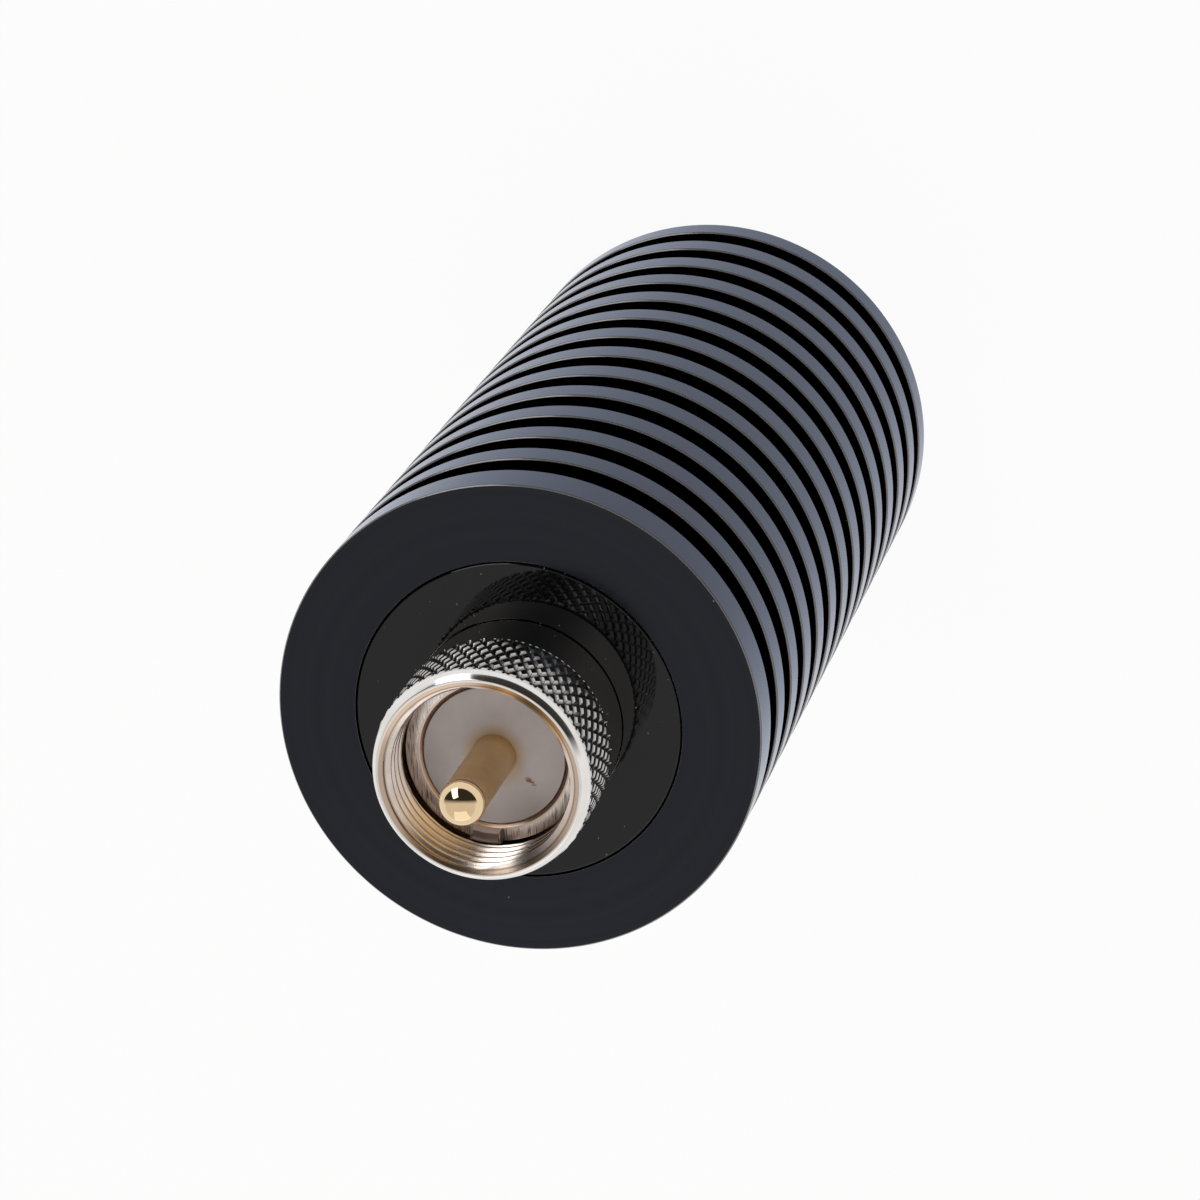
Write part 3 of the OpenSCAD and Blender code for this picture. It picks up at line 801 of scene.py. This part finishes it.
# Face disc
# A thin disc of glossy black plastic, let in flush with the front face over the plate's screws.
# It mirrors the plug sharply, and a little dust lies on it.
disc_low, disc_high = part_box("face_disc")
DISC_BEVEL = 0.15 * MM
COLLAR_GAP = 0.05 * MM
DEEP_BLACK = (0.003, 0.003, 0.004)
PALE_DUST = (0.35, 0.34, 0.33)
disc_hole_r = collar_high.x + COLLAR_GAP


def gloss_black():
    """Black plastic with a mirror gloss, a little smeared, with dust in drifts."""
    material, tree, shader = start_finish("gloss black", {"Metallic": 0, "Specular IOR Level": 0.35})
    smear = patches(tree, PATCH)
    specks = scatter_dust(tree, spacing=0.7 * MM, share=0.6, size=0.14)
    drifts = put(tree, "ShaderNodeMath", {0: specks, 1: smear}, operation="MULTIPLY").outputs[0]
    dusted = tinted(tree, drifts, DEEP_BLACK, PALE_DUST)
    tree.links.new(dusted, shader.inputs["Base Color"])
    tree.links.new(spread(tree, smear, 0.02, 0.05), shader.inputs["Roughness"])
    return material


disc_outline = [
    (disc_hole_r, disc_low.z),
    (disc_high.x, disc_low.z),
    (disc_high.x, disc_high.z - DISC_BEVEL),
    (disc_high.x - DISC_BEVEL, disc_high.z),
    (disc_hole_r, disc_high.z),
]
disc_shape = turned(softened(disc_outline, PLUG_SOFTNESS), BODY_COLUMNS)
make_piece("gloss_disc", disc_shape, gloss_black(), "face_disc", "load")

# Studio
# A white floor, pale walls, and a dark room behind the camera with two soft boxes in it.
# The camera looks down on the plug, a little from one side.
FLOOR_R = 4.0
FLOOR_SIDES = 64
FLOOR_WHITE = 0.86
FLOOR_GLOW = 0.94
PALE_WALL = (0.80, 0.78, 0.76)
DARK_ROOM = (0.035, 0.033, 0.03)
ROOM_SIDE = (0.563, -0.758, -0.330)
ROOM_BOTTOM = (0.0, 0.05)
ROOM_EDGE = (-0.12, 0.16)
WALL_SHADE = (0.13, 0.3)
SOFT_BOXES = (
    ((0.90, -0.44, 0.50), 0.5, 1.0, 4.2),
    ((-0.55, 0.75, 0.75), 1.2, 1.2, 2.0),
)
AIM = Vector((0, 0, 0.08))
CAMERA_PLACE = (0, -0.1660, 0.43246)
CAMERA_TILT = math.radians(23.56)
CAMERA_ROLL = math.radians(-145.77)
CAMERA_LENS = 141

floor_shape = bmesh.new()
bmesh.ops.create_circle(floor_shape, cap_ends=True, radius=FLOOR_R, segments=FLOOR_SIDES)
floor_mesh = bpy.data.meshes.new("studio_floor")
floor_shape.to_mesh(floor_mesh)
floor_shape.free()
floor = bpy.data.objects.new("studio_floor", floor_mesh)
bpy.context.scene.collection.objects.link(floor)

floor_paint = bpy.data.materials.new("white floor")
floor_paint.use_nodes = True
floor_tree = floor_paint.node_tree
floor_tree.nodes.clear()
rays = put(floor_tree, "ShaderNodeLightPath", {}).outputs
seen = rays["Is Camera Ray"]
for mirrored in ("Is Glossy Ray", "Is Transmission Ray"):
    seen = put(floor_tree, "ShaderNodeMath", {0: seen, 1: rays[mirrored]}, operation="MAXIMUM").outputs[0]
glow = put(floor_tree, "ShaderNodeMath", {0: seen, 1: FLOOR_GLOW}, operation="MULTIPLY")
matt = put(floor_tree, "ShaderNodeBsdfDiffuse", {"Color": (FLOOR_WHITE, FLOOR_WHITE, FLOOR_WHITE, 1)})
white = put(floor_tree, "ShaderNodeEmission", {"Color": (1, 1, 1, 1), "Strength": 1})
shown = put(floor_tree, "ShaderNodeMixShader", {0: glow.outputs[0], 1: matt.outputs[0], 2: white.outputs[0]})
put(floor_tree, "ShaderNodeOutputMaterial", {"Surface": shown.outputs[0]})
floor_mesh.materials.append(floor_paint)

walls = bpy.data.worlds.new("pale walls")
walls.use_nodes = True
wall_tree = walls.node_tree
direction = put(wall_tree, "ShaderNodeTexCoord", {}).outputs["Generated"]
upward = put(wall_tree, "ShaderNodeSeparateXYZ", {0: direction}).outputs["Z"]
roomward = put(wall_tree, "ShaderNodeVectorMath", {0: direction, 1: ROOM_SIDE}, operation="DOT_PRODUCT")
above = between(wall_tree, upward, *ROOM_BOTTOM)
behind = between(wall_tree, roomward.outputs["Value"], *ROOM_EDGE)
dark = put(wall_tree, "ShaderNodeMath", {0: above, 1: behind}, operation="MULTIPLY").outputs[0]
low_wall = tinted(wall_tree, between(wall_tree, upward, *WALL_SHADE), (1, 1, 1), PALE_WALL)
room = tinted(wall_tree, dark, low_wall, DARK_ROOM)
wall_tree.links.new(room, wall_tree.nodes["Background"].inputs["Color"])
bpy.context.scene.world = walls

for i, (place, width, tall, power) in enumerate(SOFT_BOXES):
    lamp = bpy.data.lights.new(f"soft_box_{i}", "AREA")
    lamp.shape = "RECTANGLE"
    lamp.size = width
    lamp.size_y = tall
    lamp.energy = power
    box = bpy.data.objects.new(f"soft_box_{i}", lamp)
    box.location = place
    box.rotation_euler = (AIM - Vector(place)).to_track_quat("-Z", "Y").to_euler()
    bpy.context.scene.collection.objects.link(box)

lens = bpy.data.cameras.new("photo_camera")
lens.lens = CAMERA_LENS
camera = bpy.data.objects.new("photo_camera", lens)
turn = Matrix.Rotation(CAMERA_TILT, 4, "X") @ Matrix.Rotation(CAMERA_ROLL, 4, "Z")
camera.matrix_world = Matrix.Translation(CAMERA_PLACE) @ turn
bpy.context.scene.collection.objects.link(camera)
bpy.context.scene.camera = camera
bpy.context.scene.view_settings.view_transform = "Standard"
